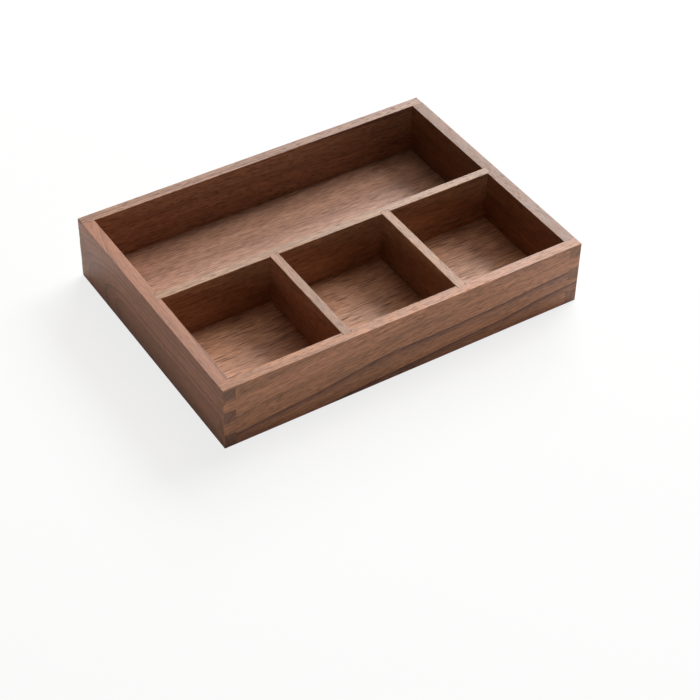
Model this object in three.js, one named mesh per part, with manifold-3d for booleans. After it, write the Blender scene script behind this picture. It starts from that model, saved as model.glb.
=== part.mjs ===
// Divided walnut vanity tray: four box-jointed walls round a grooved-in bottom panel, with housed dividers
// that make a long compartment at the back and a row of small ones along the front.
// Millimetres, +Z up. The origin is on the table under the middle of the tray, +X runs along its length and
// +Y towards the back.

import * as THREE from "three";
import { LoftGeometry } from "three/addons/geometries/LoftGeometry.js";
import { RoundedBoxGeometry } from "three/addons/geometries/RoundedBoxGeometry.js";
import { mergeVertices } from "three/addons/utils/BufferGeometryUtils.js";
import Module from "manifold-3d";

const wasm = await Module();
wasm.setup();

// Driving dimensions
const trayLength = 250; // outside, left to right
const trayDepth = 180; // outside, front to back
const trayHeight = 45; // table to rim
const sideWallThickness = 8; // left and right
const frontWallThickness = 7; // front and back
const dividerThickness = 6;
const smallBayDepth = 80; // clear, from the front wall to the long divider
const smallBayCount = 3; // equal compartments along the front
const upperFingers = 4; // equal fingers of a corner joint above the floor, over one as high as the floor
const rimLip = 1; // of the front and back walls, over the top fingers: they cover the rim's corners
const panelThickness = 5;
const panelLift = 5; // from the table to the underside of the bottom panel
const grooveDepth = 3; // how far the bottom panel runs into each wall
const housingDepth = 2; // how far a divider's end is let into the board it meets
const glueLine = 0.1; // room in every glued joint
const panelRoom = 0.5; // room for the bottom panel to swell in its groove
const edgeRadius = 0.6; // sanded edges of the rim, the corners and the foot
const edgeSteps = 3; // facets in a sanded edge

// Oiled walnut: every board has a tone of its own
const walnutRoughness = 0.55;
const tones = {
  front: 0x85604c,
  back: 0x805b47,
  left: 0x7d5e50,
  right: 0x7a5a4a,
  panel: 0xa3806a,
  longDivider: 0x7c5844,
  shortDivider: 0x84604b,
};

// Sizes that follow from them
const insideX = trayLength / 2 - sideWallThickness; // inner faces of the side walls
const insideY = trayDepth / 2 - frontWallThickness; // inner faces of the front and back walls
const floorTop = panelLift + panelThickness;
const fingerPitch = (trayHeight - floorTop) / upperFingers;
const longDividerFront = -insideY + smallBayDepth;
const longDividerBack = longDividerFront + dividerThickness;
const longDividerMiddle = (longDividerFront + longDividerBack) / 2;
const smallBayWidth = (2 * insideX - (smallBayCount - 1) * dividerThickness) / smallBayCount;
const overcut = edgeRadius; // boards are cut this much too big outside, then trimmed flush

// Solids for cutting and joining

/** A closed geometry as a solid: only its positions count, and its shared vertices are merged. */
function solidOf(geometry) {
  const bare = new THREE.BufferGeometry();
  bare.setAttribute("position", geometry.attributes.position);
  bare.setIndex(geometry.index);
  const merged = mergeVertices(bare);
  const mesh = new wasm.Mesh({
    numProp: 3,
    vertProperties: new Float32Array(merged.attributes.position.array),
    triVerts: new Uint32Array(merged.index.array),
  });
  return new wasm.Manifold(mesh);
}

/** A box between two corners. */
function block(low, high) {
  const size = new THREE.Vector3().subVectors(high, low);
  const middle = new THREE.Vector3().addVectors(low, high).multiplyScalar(0.5);
  return new THREE.BoxGeometry(size.x, size.y, size.z).translate(middle.x, middle.y, middle.z);
}

/** A named mesh of a solid whose own origin is at its seat. */
function board(name, solid, seat, tone) {
  const { vertProperties, triVerts } = solid.getMesh();
  const geometry = new THREE.BufferGeometry();
  geometry.setAttribute("position", new THREE.BufferAttribute(vertProperties, 3));
  geometry.setIndex(new THREE.BufferAttribute(triVerts, 1));
  geometry.translate(-seat.x, -seat.y, -seat.z);
  geometry.computeVertexNormals();
  const walnut = new THREE.MeshStandardMaterial({ color: tone, roughness: walnutRoughness, metalness: 0 });
  const mesh = new THREE.Mesh(geometry, walnut);
  mesh.name = name;
  mesh.position.copy(seat);
  return mesh;
}

// Outer form and compartments

/** The glued-up tray's outside, with every edge sanded round. The walls are trimmed to it. */
const outside = solidOf(
  new RoundedBoxGeometry(trayLength, trayDepth, trayHeight, edgeSteps, edgeRadius)
    .translate(0, 0, trayHeight / 2),
);

const longBay = { left: -insideX, right: insideX, front: longDividerBack, back: insideY };
const smallBays = [];
for (let bay = 0; bay < smallBayCount; bay += 1) {
  const left = -insideX + bay * (smallBayWidth + dividerThickness);
  smallBays.push({ left, right: left + smallBayWidth, front: -insideY, back: longDividerFront });
}

/** What sanding takes off a compartment's mouth: a rectangle that widens to the rim in a quarter round. */
function sandedMouth({ left, right, front, back }) {
  const rectangle = (spread, height) => [
    new THREE.Vector3(left - spread, front - spread, height),
    new THREE.Vector3(right + spread, front - spread, height),
    new THREE.Vector3(right + spread, back + spread, height),
    new THREE.Vector3(left - spread, back + spread, height),
  ];
  const sections = [];
  for (let step = 0; step <= edgeSteps; step += 1) {
    const angle = (step / edgeSteps) * (Math.PI / 2);
    const spread = edgeRadius * (1 - Math.cos(angle));
    sections.push(rectangle(spread, trayHeight - edgeRadius + edgeRadius * Math.sin(angle)));
  }
  sections.push(rectangle(edgeRadius, trayHeight + overcut));
  return solidOf(new LoftGeometry(sections, { capStart: true, capEnd: true }));
}

const mouths = [longBay, ...smallBays].map(sandedMouth);
const cutMouths = (solid) => mouths.reduce((cut, mouth) => cut.subtract(mouth), solid);

// Bottom panel, loose in a stopped groove

const panelReachX = insideX + grooveDepth;
const panelReachY = insideY + grooveDepth;
const bottomPanel = board(
  "bottom_panel",
  solidOf(block(
    new THREE.Vector3(-panelReachX, -panelReachY, panelLift),
    new THREE.Vector3(panelReachX, panelReachY, floorTop),
  )),
  new THREE.Vector3(0, 0, panelLift),
  tones.panel,
);
const groove = solidOf(block(
  new THREE.Vector3(-panelReachX - panelRoom, -panelReachY - panelRoom, panelLift),
  new THREE.Vector3(panelReachX + panelRoom, panelReachY + panelRoom, floorTop + glueLine / 2),
));

// Dividers, standing on the panel with their ends in housings

/** A divider's plan, grown by a margin, as a block from the panel to the given height. */
function dividerBlock({ left, right, front, back }, margin, top) {
  return solidOf(block(
    new THREE.Vector3(left - margin, front - margin, floorTop),
    new THREE.Vector3(right + margin, back + margin, top),
  ));
}

const longPlan = {
  left: -insideX - housingDepth,
  right: insideX + housingDepth,
  front: longDividerFront,
  back: longDividerBack,
};
const shortPlans = smallBays.slice(1).map((bay) => ({
  left: bay.left - dividerThickness,
  right: bay.left,
  front: -insideY - housingDepth,
  back: longDividerFront + housingDepth,
}));
const housingFor = (plan) => dividerBlock(plan, glueLine, trayHeight + overcut);
const longHousing = housingFor(longPlan);
const shortHousings = shortPlans.map(housingFor);
const cutShortHousings = (solid) => shortHousings.reduce((cut, housing) => cut.subtract(housing), solid);

const longDivider = board(
  "long_divider",
  cutMouths(cutShortHousings(dividerBlock(longPlan, 0, trayHeight))),
  new THREE.Vector3(0, longDividerMiddle, floorTop),
  tones.longDivider,
);
const shortDividers = shortPlans.map((plan, index) => board(
  `short_divider_${index + 1}`,
  cutMouths(dividerBlock(plan, 0, trayHeight)),
  new THREE.Vector3((plan.left + plan.right) / 2, (plan.front + plan.back) / 2, floorTop),
  tones.shortDivider,
));

// Walls, with box joints at the corners

/** Heights where a corner changes hands: the side walls have its lowest stretch, then the walls alternate. */
const turns = [floorTop];
for (let finger = 1; finger < upperFingers; finger += 1) {
  turns.push(floorTop + finger * fingerPitch);
}
turns.push(trayHeight - rimLip);

/** The steps of a wall's right end, from the foot up: its fingers reach the tip, and the rest is set back. */
function endSteps(tip, setBack, hasLowestFinger) {
  const fingerTip = tip + overcut;
  const shoulder = tip - setBack - glueLine;
  let own = hasLowestFinger;
  const steps = [new THREE.Vector2(own ? fingerTip : shoulder, -overcut)];
  for (const turn of turns) {
    const height = own ? turn - glueLine / 2 : turn + glueLine / 2;
    steps.push(new THREE.Vector2(own ? fingerTip : shoulder, height));
    own = !own;
    steps.push(new THREE.Vector2(own ? fingerTip : shoulder, height));
  }
  steps.push(new THREE.Vector2(own ? fingerTip : shoulder, trayHeight + overcut));
  return steps;
}

/** A wall on the near side of the tray: its face, fingers at both ends, extruded through its thickness. */
function wallBlank({ length, inside, thickness, setBack, hasLowestFinger }) {
  const rightEnd = endSteps(length / 2, setBack, hasLowestFinger);
  const leftEnd = rightEnd.map((point) => new THREE.Vector2(-point.x, point.y)).reverse();
  const face = new THREE.Shape([...rightEnd, ...leftEnd]);
  return new THREE.ExtrudeGeometry(face, { depth: thickness + overcut, bevelEnabled: false })
    .rotateX(Math.PI / 2)
    .translate(0, -inside, 0);
}

/** A wall blank turned to its side of the tray, grooved for the panel, trimmed flush and sanded. */
function wallSolid(blank, turn) {
  const placed = solidOf(blank.rotateZ(turn));
  return cutMouths(placed.subtract(groove).intersect(outside));
}

const frontAndBack = () => wallBlank({
  length: trayLength,
  inside: insideY,
  thickness: frontWallThickness,
  setBack: sideWallThickness,
  hasLowestFinger: false,
});
const leftAndRight = () => wallBlank({
  length: trayDepth,
  inside: insideX,
  thickness: sideWallThickness,
  setBack: frontWallThickness,
  hasLowestFinger: true,
});
const wallMiddleX = trayLength / 2 - sideWallThickness / 2;
const wallMiddleY = trayDepth / 2 - frontWallThickness / 2;

const frontWall = board(
  "front_wall",
  cutShortHousings(wallSolid(frontAndBack(), 0)),
  new THREE.Vector3(0, -wallMiddleY, 0),
  tones.front,
);
const rightWall = board(
  "right_wall",
  wallSolid(leftAndRight(), Math.PI / 2).subtract(longHousing),
  new THREE.Vector3(wallMiddleX, 0, 0),
  tones.right,
);
const backWall = board(
  "back_wall",
  wallSolid(frontAndBack(), Math.PI),
  new THREE.Vector3(0, wallMiddleY, 0),
  tones.back,
);
const leftWall = board(
  "left_wall",
  wallSolid(leftAndRight(), -Math.PI / 2).subtract(longHousing),
  new THREE.Vector3(-wallMiddleX, 0, 0),
  tones.left,
);

// The tray: a carcass of walls and panel, and the dividers in it

const carcass = new THREE.Group();
carcass.add(frontWall, rightWall, backWall, leftWall, bottomPanel);

const dividers = new THREE.Group();
dividers.add(longDivider, ...shortDividers);

const tray = new THREE.Group();
tray.name = "vanity_tray";
tray.add(carcass, dividers);

export default tray;
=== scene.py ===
import math

import bpy
import numpy as np
from mathutils import Euler, Matrix, Vector


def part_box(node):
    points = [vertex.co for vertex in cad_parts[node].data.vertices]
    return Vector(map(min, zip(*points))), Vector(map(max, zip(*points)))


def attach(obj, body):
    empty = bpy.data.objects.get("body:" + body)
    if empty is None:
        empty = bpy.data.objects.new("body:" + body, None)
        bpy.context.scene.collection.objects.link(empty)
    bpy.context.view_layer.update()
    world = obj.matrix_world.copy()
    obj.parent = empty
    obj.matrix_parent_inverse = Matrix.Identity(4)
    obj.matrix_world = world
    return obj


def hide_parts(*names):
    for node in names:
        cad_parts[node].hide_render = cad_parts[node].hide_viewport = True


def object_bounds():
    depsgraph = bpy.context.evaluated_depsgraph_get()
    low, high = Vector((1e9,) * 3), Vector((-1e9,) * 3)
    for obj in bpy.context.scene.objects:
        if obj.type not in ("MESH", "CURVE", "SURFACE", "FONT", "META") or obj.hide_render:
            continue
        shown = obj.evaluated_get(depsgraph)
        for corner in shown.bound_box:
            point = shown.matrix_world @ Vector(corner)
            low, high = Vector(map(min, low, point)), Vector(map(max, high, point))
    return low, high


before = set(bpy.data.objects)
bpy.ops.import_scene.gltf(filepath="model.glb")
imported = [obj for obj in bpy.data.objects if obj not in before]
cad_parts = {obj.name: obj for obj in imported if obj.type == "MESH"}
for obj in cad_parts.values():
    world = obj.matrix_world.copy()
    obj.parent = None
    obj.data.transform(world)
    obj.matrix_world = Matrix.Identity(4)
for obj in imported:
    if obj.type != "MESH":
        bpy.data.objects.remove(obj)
cad_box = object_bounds()

# Bottom panel
# A flat walnut panel, 5 mm thick, grain along the tray, glued up from two boards whose joint is under the
# long divider. It floats in a groove cut into the four walls, where it can swell and shrink.
MM = 0.001
ARRIS = 0.05 * MM  # the little that a plane takes off an edge inside a joint
EDGE_SEGMENTS = 4
FACE_CORNERS = 4
GRID_DIGITS = 7  # of a length in metres: planes that agree to here are one


def cut_board(name, low, high, cuts=()):
    """A board as the cells of an uneven three-way grid.

    The grid's planes are the faces of the board and of every cut, so a cell is all wood or all air. Comparing
    each cell with the next one along an axis finds every place where wood meets air, and a rectangle is drawn
    there, looking out of the wood.
    """
    low, high = np.array(low), np.array(high)
    cuts = [(np.maximum(start, low), np.minimum(stop, high)) for start, stop in cuts]
    corners = np.array([(low, high), *cuts])
    planes = [np.unique(corners[..., axis].round(GRID_DIGITS)) for axis in range(3)]
    middles = np.meshgrid(*[(plane[1:] + plane[:-1]) / 2 for plane in planes], indexing="ij")
    wood = np.ones(middles[0].shape, bool)
    for start, stop in cuts:
        inside = [(middle > start[axis]) & (middle < stop[axis]) for axis, middle in enumerate(middles)]
        wood &= ~np.logical_and.reduce(inside)

    points = np.stack(np.meshgrid(*planes, indexing="ij"), -1)
    numbers = np.arange(points[..., 0].size).reshape(points.shape[:3])
    solid = np.pad(wood.astype(int), 1)
    rectangles = []
    for axis in range(3):
        order = [axis, (axis + 1) % 3, (axis + 2) % 3]
        at = numbers.transpose(order)
        around = np.stack([at[:, :-1, :-1], at[:, 1:, :-1], at[:, 1:, 1:], at[:, :-1, 1:]], -1)
        change = np.diff(solid, axis=axis).transpose(order)[:, 1:-1, 1:-1]
        rectangles += [around[change < 0], around[change > 0][:, ::-1]]
    used, faces = np.unique(np.concatenate(rectangles), return_inverse=True)
    mesh = bpy.data.meshes.new(name + "_board")
    mesh.from_pydata(points.reshape(-1, 3)[used].tolist(), [], faces.reshape(-1, FACE_CORNERS).tolist())
    mesh.update()
    return mesh


def read(items, field, width, kind=np.float32):
    """One field of all of a mesh's items as an array, a row each."""
    values = np.empty(len(items) * width, kind)
    items.foreach_get(field, values)
    return values.reshape(-1, width)


def ease_edges(board, radius, sanded):
    """Rounds a board's edges: the sanded ones by the radius, and every other sharp one by an arris.

    The normals of the two faces at an edge are added up. Where the faces lie in one plane the sum is 2 long,
    and where they meet square it is shorter, so the edge is sharp.
    """
    nearly_two = 1.9
    mesh = board.data
    edge_at_corner = read(mesh.loops, "edge_index", 1, np.int32)[:, 0]
    normal_at_corner = np.repeat(read(mesh.polygons, "normal", 3), FACE_CORNERS, axis=0)
    normal_sum = np.zeros((len(mesh.edges), 3), np.float32)
    np.add.at(normal_sum, edge_at_corner, normal_at_corner)
    sharp = np.linalg.norm(normal_sum, axis=1) < nearly_two
    weight = np.where(sharp, np.where(sanded, 1, ARRIS / radius), 0).astype(np.float32)
    mesh.attributes.new("bevel_weight_edge", "FLOAT", "EDGE").data.foreach_set("value", weight)
    mesh.shade_smooth()
    bevel = board.modifiers.new("eased edges", "BEVEL")
    bevel.limit_method = "WEIGHT"
    bevel.width = radius
    bevel.segments = EDGE_SEGMENTS
    bevel.harden_normals = True


def add_node(tree, kind, inputs, **settings):
    """A node with its settings made. An input that is a socket is linked, and any other is set."""
    node = tree.nodes.new(kind)
    for name, value in settings.items():
        setattr(node, name, value)
    for name, value in inputs.items():
        if isinstance(value, bpy.types.NodeSocket):
            tree.links.new(value, node.inputs[name])
        else:
            node.inputs[name].default_value = value
    return node


def tone(red, green, blue):
    """A colour given in the everyday 0 to 255 steps, as the linear numbers that a shader takes."""
    steps = np.array([red, green, blue]) / 255
    linear = np.where(steps <= 0.04045, steps / 12.92, ((steps + 0.055) / 1.055) ** 2.4)
    return (*linear.tolist(), 1.0)


# Walnut's figure, a noise each: millimetres along and across the grain, detail, seed
RING_WAVES = (190, 42, 2, 0)
ZONES = (260, 15, 2, 7)
FIBRES = (16, 0.9, 2, 3)
FLECKS = (6, 0.9, 1, 23)
PORE_PATCHES = (60, 9, 2, 11)

# Growth rings, with the year from 0 to 1 through each
EARLY_POWER = 1.6
EARLY_SHARE = 0.25
LATE_POWER = 4.0
LATE_SHARE = 0.75
POOREST_YEAR = 0.2  # late wood of the poorest year, where the best has 1
SPARE_RINGS = 20  # inside the line that is set, so that no ring in the board has a negative number

# Zones and streaks: fibres and flecks together lighten and darken the wood, its blue more than its red
ZONE_SPAN = (0.32, 0.68)  # of the noise, from brown to pale
FIBRE_SHARE = 0.7
FLECK_SHARE = 0.6
STREAK_SPAN = (0.4, 0.9)  # of their sum, from dark to light
STREAK_DEPTHS = {"Red": 0.85, "Green": 1.0, "Blue": 1.1}

# Pores: a dash in each cell of a scatter, and smaller and fainter ones between
PORE_REACH = 0.34  # from a dash's middle to its end, in cells
PORE_CORE = 0.6 * PORE_REACH  # as far as a dash is quite dark
SMALL_LENGTH = 0.5  # of a small dash, where a large one has 1
SMALL_THICKNESS = 0.8
SMALL_DARKNESS = 0.4
PATCH_SPAN = (0.35, 0.65)  # of the noise, from faint pores to dark ones
FAINTEST_PATCH = 0.7  # darkness of its pores, where the darkest has 1
PORE_TINT = (0.28, 0.22, 0.2, 1)

END_GRAIN_SPAN = (0.7, 0.95)  # cosine between the grain and the way a face looks, up to full end grain

# Satin oil over open grain that can be felt
ROUGHNESS = (0.44, 0.56)
ROUGHNESS_SPAN = (0.3, 0.7)  # of the fibres' noise
PORE_ROUGHNESS = 0.4  # on top of the rest
SPECULAR = 0.58
GRAIN_DEPTH = 0.12 * MM
GRAIN_STRENGTH = 0.35
FIBRE_HEIGHT = 0.35  # where a pore's depth is 1

# Sockets of a colour mix by number, because a mix node has several of the same name
MIX_SHARE = 0
MIX_UNDER = 6
MIX_OVER = 7
MIX_RESULT = 2


def walnut(name, middle, heart, ring, line_at, rings, first_ring, wander, pale, brown, late, pores, dash,
           ends, turn=(0, 0, 0), swing=None, streak=0.36):
    """Oiled walnut, cut from a log that has its place, so the pattern goes through the wood to all sides.

    Distances are millimetres from the heart of the log, x along the grain, which turn lays along the board.
    The growth rings are the distance from that axis, pushed about by a slow noise as far as wander says, and
    divided by the ring's width. Each ring darkens slowly and then sharply to its late wood, the more so the
    better its year was, which a random number says: first_ring picks the run of years, and line_at is a place
    in the board, from its middle, where a line of late wood runs. The rest of the wood has pale and brown
    zones. Fibres are noises drawn out along the grain, and pores are dashes of the given length and thickness
    about scattered points. The heart may swing aside between two places along the grain, and the rings then
    come to the face in nested arches. The numbers rings, streak and pores say how strongly each shows, and
    ends how bright the end grain is.
    """
    material = bpy.data.materials.new(name)
    material.use_nodes = True
    tree = material.node_tree
    shader = tree.nodes["Principled BSDF"]

    def math_node(operation, *values):
        return add_node(tree, "ShaderNodeMath", dict(enumerate(values)), operation=operation).outputs[0]

    def vector_node(operation, *values, output=0):
        inputs = dict(enumerate(values))
        return add_node(tree, "ShaderNodeVectorMath", inputs, operation=operation).outputs[output]

    def ranged(value, span, results):
        """A value eased over a span from one result to the other, and held beyond it."""
        inputs = dict(enumerate((value, *span, *results)))
        return add_node(tree, "ShaderNodeMapRange", inputs, interpolation_type="SMOOTHSTEP").outputs[0]

    def noise(place, along, across, detail, seed):
        shrunk = vector_node("MULTIPLY", place, (1 / along, 1 / across, 1 / across))
        moved = vector_node("ADD", shrunk, (seed, seed, seed))
        return add_node(tree, "ShaderNodeTexNoise", {"Vector": moved, "Scale": 1.0, "Detail": detail})

    def pore_marks(place, length, thickness):
        """Dashes: dark near the scattered points of a space that is squeezed along the grain."""
        cells = 2 * PORE_REACH
        squeezed = vector_node("MULTIPLY", place, (cells / length, cells / thickness, cells / thickness))
        scatter = add_node(tree, "ShaderNodeTexVoronoi", {"Vector": squeezed, "Scale": 1.0})
        return ranged(scatter.outputs["Distance"], (PORE_CORE, PORE_REACH), (1, 0))

    def mixed(blend, share, under, over):
        inputs = {MIX_SHARE: share, MIX_UNDER: under, MIX_OVER: over}
        node = add_node(tree, "ShaderNodeMix", inputs, data_type="RGBA", blend_type=blend)
        return node.outputs[MIX_RESULT]

    # The log's own coordinates
    turned = Euler(turn).to_matrix()
    heart_at = Vector((0, *heart))
    around = add_node(tree, "ShaderNodeTexCoord", {})
    place = add_node(tree, "ShaderNodeMapping", {
        "Vector": around.outputs["Object"],
        "Location": tuple(-(turned @ (Vector(middle) / MM) + heart_at)),
        "Rotation": turn,
        "Scale": (1 / MM, 1 / MM, 1 / MM),
    }).outputs[0]
    line_place = turned @ Vector(line_at) - heart_at
    if swing:
        begin, end, *aside = swing
        along = add_node(tree, "ShaderNodeSeparateXYZ", {0: place}).outputs["X"]
        swung = add_node(tree, "ShaderNodeCombineXYZ", {
            way: ranged(along, (begin, end), (0, reach)) for way, reach in zip("YZ", aside)
        }).outputs[0]
        place = vector_node("ADD", place, swung)
        share = min(max((line_place.x - begin) / (end - begin), 0), 1)
        eased = share ** 2 * (3 - 2 * share)
        line_place += Vector((0, *aside)) * eased

    # Growth rings, so set that a late-wood line runs through line_at
    push = vector_node("SUBTRACT", noise(place, *RING_WAVES).outputs["Color"], (0.5, 0.5, 0.5))
    grown = vector_node("ADD", place, vector_node("MULTIPLY", push, (0, wander, wander)))
    from_heart = vector_node("MULTIPLY", grown, (0, 1, 1))
    radius = vector_node("LENGTH", from_heart, output="Value")
    rings_to_line = math.hypot(line_place.y, line_place.z) / ring
    phase = math_node("SUBTRACT", math_node("DIVIDE", radius, ring), rings_to_line - SPARE_RINGS)
    year = math_node("FRACT", phase)
    number = math_node("ADD", math_node("FLOOR", phase), first_ring)
    vigour = add_node(tree, "ShaderNodeTexWhiteNoise", {"W": number}, noise_dimensions="1D").outputs["Value"]
    early_darkening = math_node("MULTIPLY", math_node("POWER", year, EARLY_POWER), EARLY_SHARE)
    late_darkening = math_node("MULTIPLY", math_node("POWER", year, LATE_POWER), LATE_SHARE)
    darkening = math_node("ADD", early_darkening, late_darkening)
    late_share = math_node("MULTIPLY", darkening, ranged(vigour, (0, 1), (POOREST_YEAR * rings, rings)))

    # Broad zones and late wood
    zones = noise(grown, *ZONES).outputs["Fac"]
    colour = mixed("MIX", ranged(zones, ZONE_SPAN, (0, 1)), brown, pale)
    colour = mixed("MIX", late_share, colour, late)

    # Streaks
    fibres = noise(grown, *FIBRES).outputs["Fac"]
    flecks = noise(grown, *FLECKS).outputs["Fac"]
    streaks = math_node("MULTIPLY_ADD", flecks, FLECK_SHARE, math_node("MULTIPLY", fibres, FIBRE_SHARE))
    shade = add_node(tree, "ShaderNodeCombineColor", {
        channel: ranged(streaks, STREAK_SPAN, (1 - streak * depth, 1 + streak * depth))
        for channel, depth in STREAK_DEPTHS.items()
    }).outputs[0]
    colour = mixed("MULTIPLY", 1.0, colour, shade)

    # Pores
    length, thickness = dash
    large_pores = pore_marks(grown, length, thickness)
    small_pores = pore_marks(grown, SMALL_LENGTH * length, SMALL_THICKNESS * thickness)
    all_pores = math_node("MAXIMUM", math_node("MULTIPLY", small_pores, SMALL_DARKNESS), large_pores)
    patches = noise(grown, *PORE_PATCHES).outputs["Fac"]
    darkness = ranged(patches, PATCH_SPAN, (FAINTEST_PATCH * pores, pores))
    pore_share = math_node("MULTIPLY", all_pores, darkness)
    colour = mixed("MULTIPLY", pore_share, colour, PORE_TINT)

    # End grain
    grain_way = turned.inverted() @ Vector((1, 0, 0))
    facing = vector_node("DOT_PRODUCT", around.outputs["Normal"], tuple(grain_way), output="Value")
    end_share = ranged(math_node("ABSOLUTE", facing), END_GRAIN_SPAN, (0, 1))
    colour = mixed("MULTIPLY", end_share, colour, (ends, ends, ends, 1))
    tree.links.new(colour, shader.inputs["Base Color"])

    # Satin oil, rougher in the pores
    fibre_roughness = ranged(fibres, ROUGHNESS_SPAN, ROUGHNESS)
    roughness = math_node("MULTIPLY_ADD", pore_share, PORE_ROUGHNESS, fibre_roughness)
    tree.links.new(roughness, shader.inputs["Roughness"])
    shader.inputs["Specular IOR Level"].default_value = SPECULAR
    grain = add_node(tree, "ShaderNodeBump", {
        "Height": math_node("SUBTRACT", math_node("MULTIPLY", fibres, FIBRE_HEIGHT), pore_share),
        "Strength": GRAIN_STRENGTH,
        "Distance": GRAIN_DEPTH,
    })
    tree.links.new(grain.outputs[0], shader.inputs["Normal"])
    return material


def add_board(node, mesh, material, radius=ARRIS, sanded=False):
    """Puts a board into the scene in the place of its node, or of a part of it."""
    board = bpy.data.objects.new(mesh.name, mesh)
    bpy.context.scene.collection.objects.link(board)
    mesh.materials.append(material)
    ease_edges(board, radius, sanded)
    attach(board, "root")
    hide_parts(node)


panel_low, panel_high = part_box("bottom_panel")
panel_joint = sum(corner.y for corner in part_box("long_divider")) / 2
floor_top = panel_high.z


def add_panel_board(name, front, rear, **figure):
    """One of the panel's two boards, from its front edge to its rear edge."""
    low = Vector((panel_low.x, front, panel_low.z))
    high = Vector((panel_high.x, rear, panel_high.z))
    material = walnut(
        "walnut_" + name,
        (low + high) / 2,
        ring=12,
        line_at=(0, 10, 2.5),
        rings=0.35,
        first_ring=0,
        wander=12,
        ends=0.72,
        **figure,
    )
    add_board("bottom_panel", cut_board(name, low, high), material)


add_panel_board(
    "bottom_panel_front",
    panel_low.y,
    panel_joint,
    heart=(-260, -90),
    pale=tone(200, 148, 113),
    brown=tone(176, 125, 93),
    late=tone(125, 86, 68),
    pores=0.85,
    dash=(16, 0.95),
)
add_panel_board(
    "bottom_panel_back",
    panel_joint,
    panel_high.y,
    heart=(240, -110),
    pale=tone(177, 131, 105),
    brown=tone(163, 116, 92),
    late=tone(121, 86, 68),
    pores=0.5,
    dash=(9, 0.9),
)

# Front and back walls
# Solid walnut boards, 7 mm thick, grain along the tray. Box joints hold their ends: every other stretch is a
# finger, and a thin lip at the top runs over the side walls, so that the rim is in one piece at the corners.
EDGE_RADIUS = 0.45 * MM
GLUE_LINE = 0.03 * MM
UPPER_FINGERS = 4
RIM_LIP = 1 * MM
PANEL_ROOM = 0.5 * MM
FAR = 1.0  # past every face, for a cut that runs out of the wood
TOUCHING = 1e-6  # metres within which two places are one

tray_top = cad_box[1].z
inside_low = Vector((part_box("left_wall")[1].x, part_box("front_wall")[1].y))
inside_high = Vector((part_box("right_wall")[0].x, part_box("back_wall")[0].y))
long_low, long_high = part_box("long_divider")
short_boxes = [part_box(f"short_divider_{number}") for number in (1, 2)]

panel_groove = (
    (panel_low.x - PANEL_ROOM, panel_low.y - PANEL_ROOM, panel_low.z),
    (panel_high.x + PANEL_ROOM, panel_high.y + PANEL_ROOM, floor_top + GLUE_LINE / 2),
)

# Stretches of a corner from the foot up: the side walls have the first, and then the walls take turns
finger_pitch = (tray_top - floor_top) / UPPER_FINGERS
turns = [floor_top + finger_pitch * finger for finger in range(UPPER_FINGERS)] + [tray_top - RIM_LIP]
stretches = list(zip([-FAR, *turns], [*turns, FAR]))
side_stretches = stretches[0::2]
front_stretches = stretches[1::2]

# Mouths of the compartments, each by two corners: the long one, then the small ones from the left
bay_lefts = [inside_low.x, *[high.x for low, high in short_boxes]]
bay_rights = [*[low.x for low, high in short_boxes], inside_high.x]
mouths = [
    ((inside_low.x, long_high.y), (inside_high.x, inside_high.y)),
    *[((left, inside_low.y), (right, long_low.y)) for left, right in zip(bay_lefts, bay_rights)],
]


def housing(low, high):
    """Room for a divider's end: the divider's box with a glue line round it, open at the rim."""
    return (
        (low.x - GLUE_LINE, low.y - GLUE_LINE, floor_top),
        (high.x + GLUE_LINE, high.y + GLUE_LINE, FAR),
    )


def sockets(axis, others):
    """What the box joints take out at both ends of a wall: the stretches that the other wall has."""
    cuts = []
    for bottom, top in others:
        start = [-FAR, -FAR, bottom - GLUE_LINE / 2]
        stop = [FAR, FAR, top + GLUE_LINE / 2]
        low_end_stop = stop.copy()
        low_end_stop[axis] = inside_low[axis] + GLUE_LINE
        high_end_start = start.copy()
        high_end_start[axis] = inside_high[axis] - GLUE_LINE
        cuts += [(start, low_end_stop), (high_end_start, stop)]
    return cuts


def sanded_edges(mesh):
    """Which edges were sanded after the glue-up.

    They lie in two of the tray's outer faces at once, or on the rim along a side of a compartment's mouth:
    the middle of such an edge is within the mouth's reach and on one of its four sides.
    """
    ends = read(mesh.vertices, "co", 3)[read(mesh.edges, "vertices", 2, np.int32)]
    on_faces = [
        np.isclose(ends[..., axis], corner[axis], atol=TOUCHING).all(1)
        for axis in range(3)
        for corner in cad_box
    ]
    sanded = np.sum(on_faces, axis=0) >= 2
    on_rim = on_faces[-1]
    middle = ends.mean(1)
    for low, high in mouths:
        for axis in (0, 1):
            across = 1 - axis
            beside = np.isclose(middle[:, axis], low[axis], atol=TOUCHING)
            beside |= np.isclose(middle[:, axis], high[axis], atol=TOUCHING)
            within = (middle[:, across] > low[across]) & (middle[:, across] < high[across])
            sanded |= on_rim & beside & within
    return sanded


def add_sanded_board(node, cuts, slot, **figure):
    """A walnut board cut to its node's box and to the cuts, with its open edges sanded round."""
    low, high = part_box(node)
    mesh = cut_board(node, low, high, cuts)
    material = walnut("walnut_" + node, (low + high) / 2, **figure)
    add_board(node, mesh, material, EDGE_RADIUS, sanded_edges(mesh))


short_housings = [housing(low, high) for low, high in short_boxes]

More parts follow.
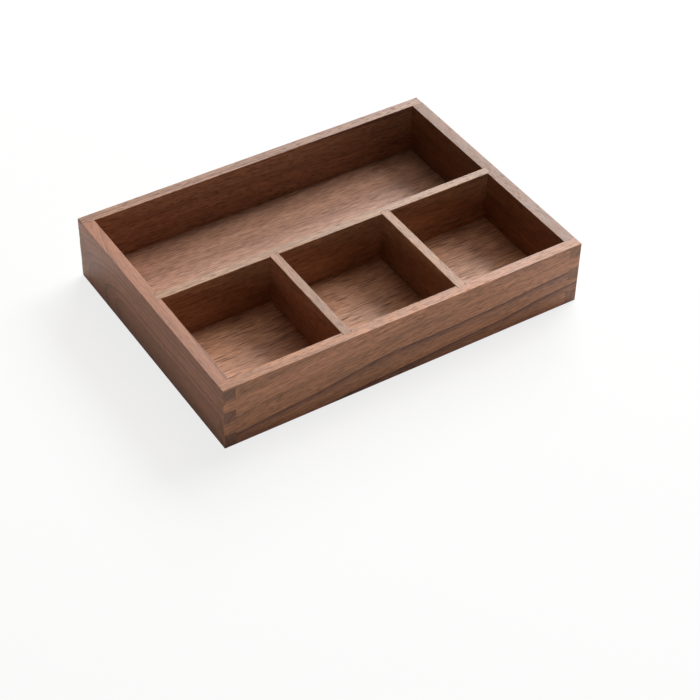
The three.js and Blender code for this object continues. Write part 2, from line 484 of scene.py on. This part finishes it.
add_sanded_board(
    "front_wall",
    [panel_groove, *sockets(0, side_stretches), *short_housings],
    "walnut_wall",
    turn=(0, math.radians(3.3), 0),
    heart=(135, -65),
    swing=(-160, 20, 0, -7.3),
    ring=4.4,
    line_at=(40, -4, -0.5),
    rings=1.0,
    first_ring=2990,
    wander=6,
    pale=tone(195, 133, 96),
    brown=tone(169, 115, 79),
    late=tone(93, 55, 39),
    pores=0.4,
    dash=(5, 1.0),
    ends=0.85,
)
add_sanded_board(
    "back_wall",
    [panel_groove, *sockets(0, side_stretches)],
    "walnut_wall",
    turn=(0, math.radians(-2.5), 0),
    heart=(90, 80),
    ring=5.0,
    line_at=(0, 4, 4),
    rings=0.8,
    first_ring=100,
    wander=6,
    pale=tone(169, 126, 100),
    brown=tone(150, 110, 84),
    late=tone(107, 71, 59),
    pores=0.6,
    dash=(5, 1.1),
    ends=0.95,
)

# Left and right walls
# Solid walnut boards, 8 mm thick, grain from front to back. Their fingers show as squares of end grain on the
# tray's front and back, and a housing in each takes the long divider's end.
ALONG_Y = math.radians(-90)
side_wall_cuts = [panel_groove, *sockets(1, front_stretches), housing(long_low, long_high)]

add_sanded_board(
    "left_wall",
    side_wall_cuts,
    "walnut_wall",
    turn=(0, 0.02, ALONG_Y),
    heart=(-20, -14),
    swing=(25, 135, 24, 0),
    ring=3.2,
    line_at=(60, 4, 2),
    rings=0.9,
    first_ring=200,
    wander=8,
    pale=tone(180, 123, 93),
    brown=tone(159, 107, 80),
    late=tone(119, 74, 57),
    streak=0.2,
    pores=0.2,
    dash=(5, 1.0),
    ends=0.6,
)
add_sanded_board(
    "right_wall",
    side_wall_cuts,
    "walnut_wall",
    turn=(0, -0.05, ALONG_Y),
    heart=(-110, -50),
    ring=4.8,
    line_at=(0, 4, 5),
    rings=0.6,
    first_ring=200,
    wander=8,
    # These tones are darker than this wood's own colour: painted shade for the inner face, which looks away
    # from the lamps. The end grain is made lighter than the side grain so the finger squares on the tray's
    # faces stay pale.
    pale=tone(139, 94, 64),
    brown=tone(122, 81, 53),
    late=tone(88, 55, 39),
    pores=0.3,
    dash=(5, 1.0),
    ends=1.3,
)

# Long divider
# A walnut strip, 6 mm thick, that stands on the panel. Its ends are glued into the side walls' housings, and
# two housings in its front take the short dividers.
add_sanded_board(
    "long_divider",
    short_housings,
    "walnut_divider",
    turn=(0, math.radians(1.5), 0),
    heart=(60, -140),
    ring=4.2,
    line_at=(0, -3, 0),
    rings=0.5,
    first_ring=300,
    wander=5,
    pale=tone(176, 135, 105),
    brown=tone(156, 118, 90),
    late=tone(104, 75, 60),
    pores=0.4,
    dash=(5, 1.1),
    ends=0.75,
)

# Short dividers
# Two walnut strips, 6 mm thick, grain from front to back, that part the small compartments. They are glued
# into housings in the front wall and the long divider. One broad ring darkens them from the rim to the floor:
# this is painted shade, deepest low in the compartments.
for number, heart, pale, brown, late in (
    (1, (-30, 150), tone(175, 129, 102), tone(152, 112, 84), tone(106, 70, 55)),
    (2, (25, 150), tone(167, 124, 93), tone(146, 106, 76), tone(99, 66, 50)),
):
    add_sanded_board(
        f"short_divider_{number}",
        [],
        "walnut_divider",
        turn=(0, 0.03, ALONG_Y),
        heart=heart,
        # one ring as wide as the strip, its late wood near the floor: painted shade that darkens the strips
        # towards the bottom
        ring=50,
        line_at=(0, 0, -24),
        rings=1.0,
        first_ring=400 * number,
        wander=6,
        pale=pale,
        brown=brown,
        late=late,
        pores=0.35,
        dash=(5, 1.1),
        ends=0.75,
    )

# Studio
# A white table, two soft lamps from behind on the right, weaker and warmer ones high up and low in front, and
# a camera at the photograph's angle.
FLOOR_SIZE = 16.0
FLOOR_COLOUR = 0.94
FLOOR_ROUGHNESS = 0.9
WHITENESS = 0.8  # share of the table's look that is plain white, and the rest takes light and shade
TABLE_MIRRORED = 0.2  # the same for what the satin wood mirrors of the table
ROOM_MIRRORED = 0.06  # and of the room
WHITE = (1, 1, 1, 1)


def white_share(tree, mirrored_share):
    """How white a surface of the studio looks to the ray that meets it: plain light and shade get none."""
    path = add_node(tree, "ShaderNodeLightPath", {})
    direct = add_node(tree, "ShaderNodeMath", {
        0: path.outputs["Is Camera Ray"],
        1: path.outputs["Is Transmission Ray"],
    }, operation="MAXIMUM").outputs[0]
    mirrored = add_node(tree, "ShaderNodeMath", {
        0: path.outputs["Is Glossy Ray"],
        1: mirrored_share,
    }, operation="MULTIPLY").outputs[0]
    return add_node(tree, "ShaderNodeMath", {
        0: direct,
        1: WHITENESS,
        2: mirrored,
    }, operation="MULTIPLY_ADD").outputs[0]


half = FLOOR_SIZE / 2
floor_corners = [(-half, -half, 0), (half, -half, 0), (half, half, 0), (-half, half, 0)]
floor_mesh = bpy.data.meshes.new("floor")
floor_mesh.from_pydata(floor_corners, [], [(0, 1, 2, 3)])
floor = bpy.data.objects.new("floor", floor_mesh)
bpy.context.scene.collection.objects.link(floor)
floor_material = bpy.data.materials.new("pale_table")
floor_material.use_nodes = True
floor_tree = floor_material.node_tree
floor_shader = floor_tree.nodes["Principled BSDF"]
floor_shader.inputs["Base Color"].default_value = (FLOOR_COLOUR, FLOOR_COLOUR, FLOOR_COLOUR, 1)
floor_shader.inputs["Roughness"].default_value = FLOOR_ROUGHNESS
floor_shader.inputs["Specular IOR Level"].default_value = 0.0
white = add_node(floor_tree, "ShaderNodeEmission", {"Color": WHITE, "Strength": 1.0})
table_look = add_node(floor_tree, "ShaderNodeMixShader", {
    0: white_share(floor_tree, TABLE_MIRRORED),
    1: floor_shader.outputs[0],
    2: white.outputs[0],
})
floor_tree.links.new(table_look.outputs[0], floor_tree.nodes["Material Output"].inputs["Surface"])
floor_mesh.materials.append(floor_material)

world = bpy.data.worlds.new("studio")
world.use_nodes = True
world_tree = world.node_tree
room = world_tree.nodes["Background"]
room.inputs["Color"].default_value = WHITE
world_tree.links.new(white_share(world_tree, ROOM_MIRRORED), room.inputs["Strength"])
bpy.context.scene.world = world

LAMP_DISTANCE = 3.0
COOL = (0.95, 0.98, 1.0)
WARM = (1.0, 0.9, 0.79)
target = Vector((0, 0, tray_top / 2))


def add_lamp(name, azimuth, elevation, size, power, colour):
    """A square soft lamp that looks at the tray. Azimuth turns from +X towards +Y, in degrees."""
    turn, rise = math.radians(azimuth), math.radians(elevation)
    way = Vector((math.cos(turn) * math.cos(rise), math.sin(turn) * math.cos(rise), math.sin(rise)))
    lamp = bpy.data.lights.new(name, "AREA")
    lamp.energy = power
    lamp.size = size
    lamp.color = colour
    lamp_object = bpy.data.objects.new(name, lamp)
    lamp_object.location = target + way * LAMP_DISTANCE
    lamp_object.rotation_euler = way.to_track_quat("Z", "Y").to_euler()
    bpy.context.scene.collection.objects.link(lamp_object)


add_lamp("side_lamp", azimuth=15, elevation=40, size=1.25, power=73, colour=COOL)
add_lamp("back_lamp", azimuth=45, elevation=32, size=1.25, power=56.5, colour=COOL)
add_lamp("high_lamp", azimuth=42, elevation=65, size=1.6, power=22, colour=WARM)
add_lamp("top_lamp", azimuth=180, elevation=87, size=1.0, power=4.4, colour=WARM)
add_lamp("front_lamp", azimuth=-132, elevation=7, size=0.6, power=9.9, colour=WARM)

CAMERA_AZIMUTH = math.radians(-33.248)
CAMERA_ELEVATION = math.radians(42.361)
CAMERA_ROLL = math.radians(1.297)
CAMERA_DISTANCE = 1.17707
AIM_RIGHT = 0.013488  # from the middle of the tray, in the picture's plane
AIM_UP = -0.055959
LENS = 98.044

back = Vector((
    math.sin(CAMERA_AZIMUTH) * math.cos(CAMERA_ELEVATION),
    -math.cos(CAMERA_AZIMUTH) * math.cos(CAMERA_ELEVATION),
    math.sin(CAMERA_ELEVATION),
))
level = Vector((math.cos(CAMERA_AZIMUTH), math.sin(CAMERA_AZIMUTH), 0))
upright = back.cross(level)
right = math.cos(CAMERA_ROLL) * level + math.sin(CAMERA_ROLL) * upright
up = -math.sin(CAMERA_ROLL) * level + math.cos(CAMERA_ROLL) * upright
camera_data = bpy.data.cameras.new("camera")
camera_data.lens = LENS
camera = bpy.data.objects.new("camera", camera_data)
camera.location = target + AIM_RIGHT * right + AIM_UP * up + CAMERA_DISTANCE * back
camera.rotation_euler = Matrix((right, up, back)).transposed().to_euler()
bpy.context.scene.collection.objects.link(camera)
bpy.context.scene.camera = camera

bpy.context.scene.view_settings.view_transform = "Standard"
